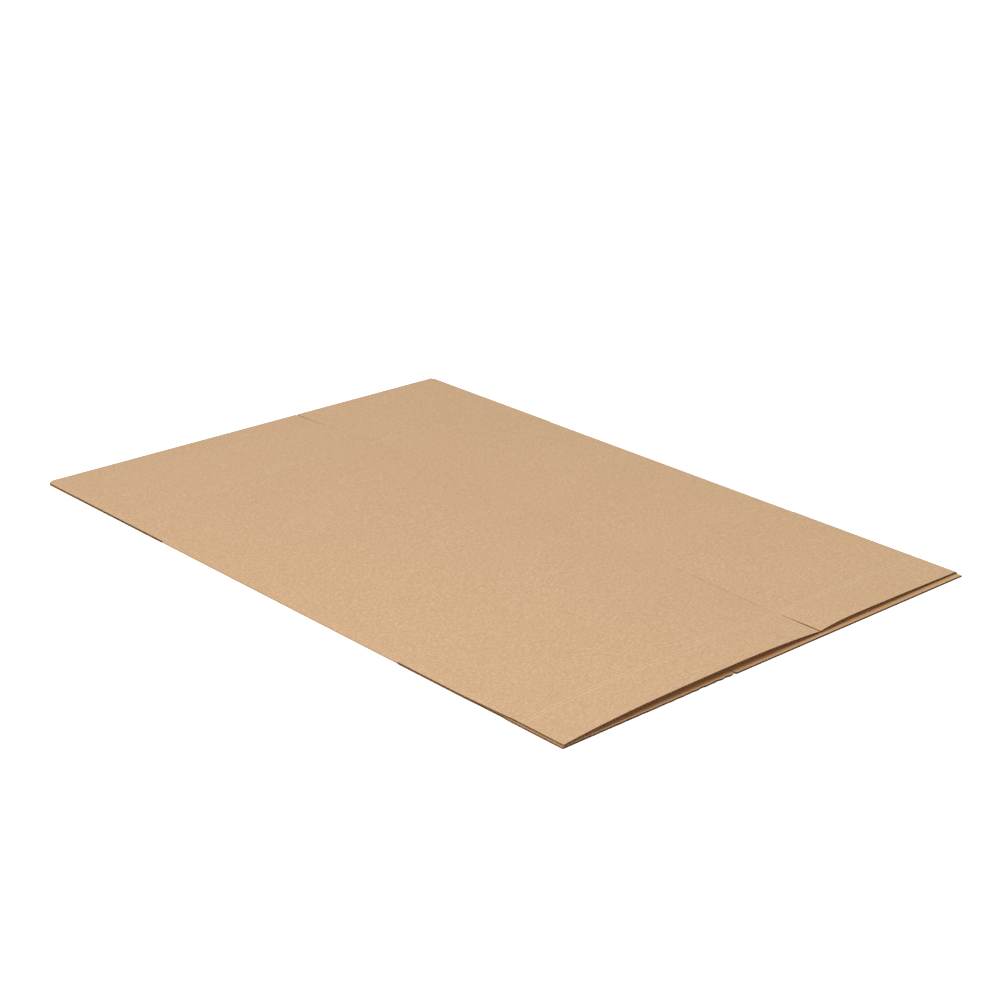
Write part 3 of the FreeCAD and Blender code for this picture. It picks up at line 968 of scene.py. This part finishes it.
def add_floor(studio):
    """Wide pale floor that shows white to the camera, keeps the box's shadow, and throws
    little light back up at the box."""
    material, tree = new_material("painted_studio_floor")
    path = add_node(tree, "ShaderNodeLightPath")
    seen = add_node(tree, "ShaderNodeMath", {"operation": "MAXIMUM"},
                    {0: path.outputs["Is Camera Ray"], 1: path.outputs["Is Glossy Ray"]})
    shade = add_node(
        tree, "ShaderNodeMix",
        {"data_type": "RGBA", MIX_FIRST: linear_colour(FLOOR_BOUNCE),
         MIX_SECOND: linear_colour(studio.floor_colour)},
        {MIX_FACTOR: seen.outputs[0]})
    matt = add_node(tree, "ShaderNodeBsdfDiffuse", links={"Color": shade.outputs[MIX_RESULT]})
    strength = add_node(tree, "ShaderNodeMath", {"operation": "MULTIPLY", 1: FLOOR_GLOW},
                        {0: seen.outputs[0]})
    glow = add_node(tree, "ShaderNodeEmission", {"Color": WHITE},
                    {"Strength": strength.outputs[0]})
    both = add_node(tree, "ShaderNodeAddShader",
                    links={0: matt.outputs["BSDF"], 1: glow.outputs["Emission"]})
    add_node(tree, "ShaderNodeOutputMaterial", links={"Surface": both.outputs["Shader"]})
    half = FLOOR_SIZE / 2
    corners = [(-half, -half, 0), (half, -half, 0), (half, half, 0), (-half, half, 0)]
    mesh = bpy.data.meshes.new("floor")
    mesh.from_pydata(corners, [], [(0, 1, 2, 3)])
    mesh.materials.append(material)
    floor = bpy.data.objects.new("floor", mesh)
    bpy.context.scene.collection.objects.link(floor)


def add_world(studio):
    """Soft light, strongest from above and behind, in a room that looks white."""
    world = bpy.data.worlds.new("studio")
    world.use_nodes = True
    tree = world.node_tree
    tree.nodes.clear()
    place = add_node(tree, "ShaderNodeTexCoord")
    toward = add_node(tree, "ShaderNodeVectorMath", {"operation": "DOT_PRODUCT", 1: FILL_FROM},
                      {0: place.outputs["Generated"]})
    fill = add_node(
        tree, "ShaderNodeMapRange",
        {"From Min": FILL_LOWEST, "From Max": 1.0,
         "To Min": studio.fill_low, "To Max": studio.fill_high},
        {"Value": toward.outputs["Value"]})
    path = add_node(tree, "ShaderNodeLightPath")
    seen = add_node(tree, "ShaderNodeMath", {"operation": "MAXIMUM"},
                    {0: path.outputs["Is Camera Ray"], 1: path.outputs["Is Glossy Ray"]})
    clear = add_node(tree, "ShaderNodeMath", {"operation": "MAXIMUM"},
                     {0: seen.outputs[0], 1: path.outputs["Is Transmission Ray"]})
    strength = add_node(tree, "ShaderNodeMapRange", {"To Max": 1.0},
                        {"Value": clear.outputs[0], "To Min": fill.outputs["Result"]})
    light = add_node(tree, "ShaderNodeBackground", {"Color": WHITE},
                     {"Strength": strength.outputs["Result"]})
    add_node(tree, "ShaderNodeOutputWorld", links={"Surface": light.outputs["Background"]})
    bpy.context.scene.world = world


def add_key_lamp(studio):
    """Large soft lamp above the near left of the box."""
    lamp = bpy.data.lights.new("key", "AREA")
    lamp.shape = "DISK"
    lamp.size = KEY_SIZE
    lamp.energy = studio.key_power
    holder = bpy.data.objects.new("key", lamp)
    holder.location = KEY_PLACE
    holder.rotation_euler = (-Vector(KEY_PLACE)).to_track_quat("-Z", "Y").to_euler()
    bpy.context.scene.collection.objects.link(holder)


def add_camera(studio):
    """Camera that takes the view of the photograph."""
    camera = bpy.data.cameras.new("camera")
    camera.lens = studio.lens
    camera.sensor_width = SENSOR_WIDTH
    camera.clip_end = CLIP_FAR
    holder = bpy.data.objects.new("camera", camera)
    level = math.cos(studio.elevation)
    look = Vector((math.sin(studio.azimuth) * level, math.cos(studio.azimuth) * level,
                   -math.sin(studio.elevation)))
    holder.rotation_mode = "QUATERNION"
    roll = Quaternion((0, 0, 1), studio.roll)
    holder.rotation_quaternion = look.to_track_quat("-Z", "Y") @ roll
    holder.location = studio.place
    bpy.context.scene.collection.objects.link(holder)
    bpy.context.scene.camera = holder


class FLATBOX_OT_stage(Operator):
    """Set up the pale floor, the soft studio light and the camera"""

    bl_idname = "flatbox.stage"
    bl_label = "Stage"

    def execute(self, context):
        studio = context.scene.flatbox_studio
        add_floor(studio)
        add_world(studio)
        add_key_lamp(studio)
        add_camera(studio)
        context.scene.view_settings.view_transform = "Standard"
        return {"FINISHED"}


class FLATBOX_PT_sidebar(Panel):
    """Sizes, colours and steps of the flattened box"""

    bl_idname = "FLATBOX_PT_sidebar"
    bl_label = "Flattened box"
    bl_space_type = "VIEW_3D"
    bl_region_type = "UI"
    bl_category = "Flat Box"

    def draw(self, context):
        scene = context.scene
        for group in (scene.flatbox_sizes, scene.flatbox_colours, scene.flatbox_studio):
            box = self.layout.box()
            for name in group.__annotations__:
                box.prop(group, name)
        for operator in OPERATORS:
            self.layout.operator(operator.bl_idname)


OPERATORS = (FLATBOX_OT_facings, FLATBOX_OT_tab, FLATBOX_OT_fluting, FLATBOX_OT_stage)
CLASSES = (BoardSizes, BoardColours, StudioSettings, *OPERATORS, FLATBOX_PT_sidebar)


def register():
    for cls in CLASSES:
        bpy.utils.register_class(cls)
    bpy.types.Scene.flatbox_sizes = PointerProperty(type=BoardSizes)
    bpy.types.Scene.flatbox_colours = PointerProperty(type=BoardColours)
    bpy.types.Scene.flatbox_studio = PointerProperty(type=StudioSettings)


def unregister():
    del bpy.types.Scene.flatbox_studio
    del bpy.types.Scene.flatbox_colours
    del bpy.types.Scene.flatbox_sizes
    for cls in reversed(CLASSES):
        bpy.utils.unregister_class(cls)


def main():
    register()
    bpy.ops.flatbox.facings()
    bpy.ops.flatbox.tab()
    bpy.ops.flatbox.fluting()
    bpy.ops.flatbox.stage()


if __name__ == "__main__":
    main()
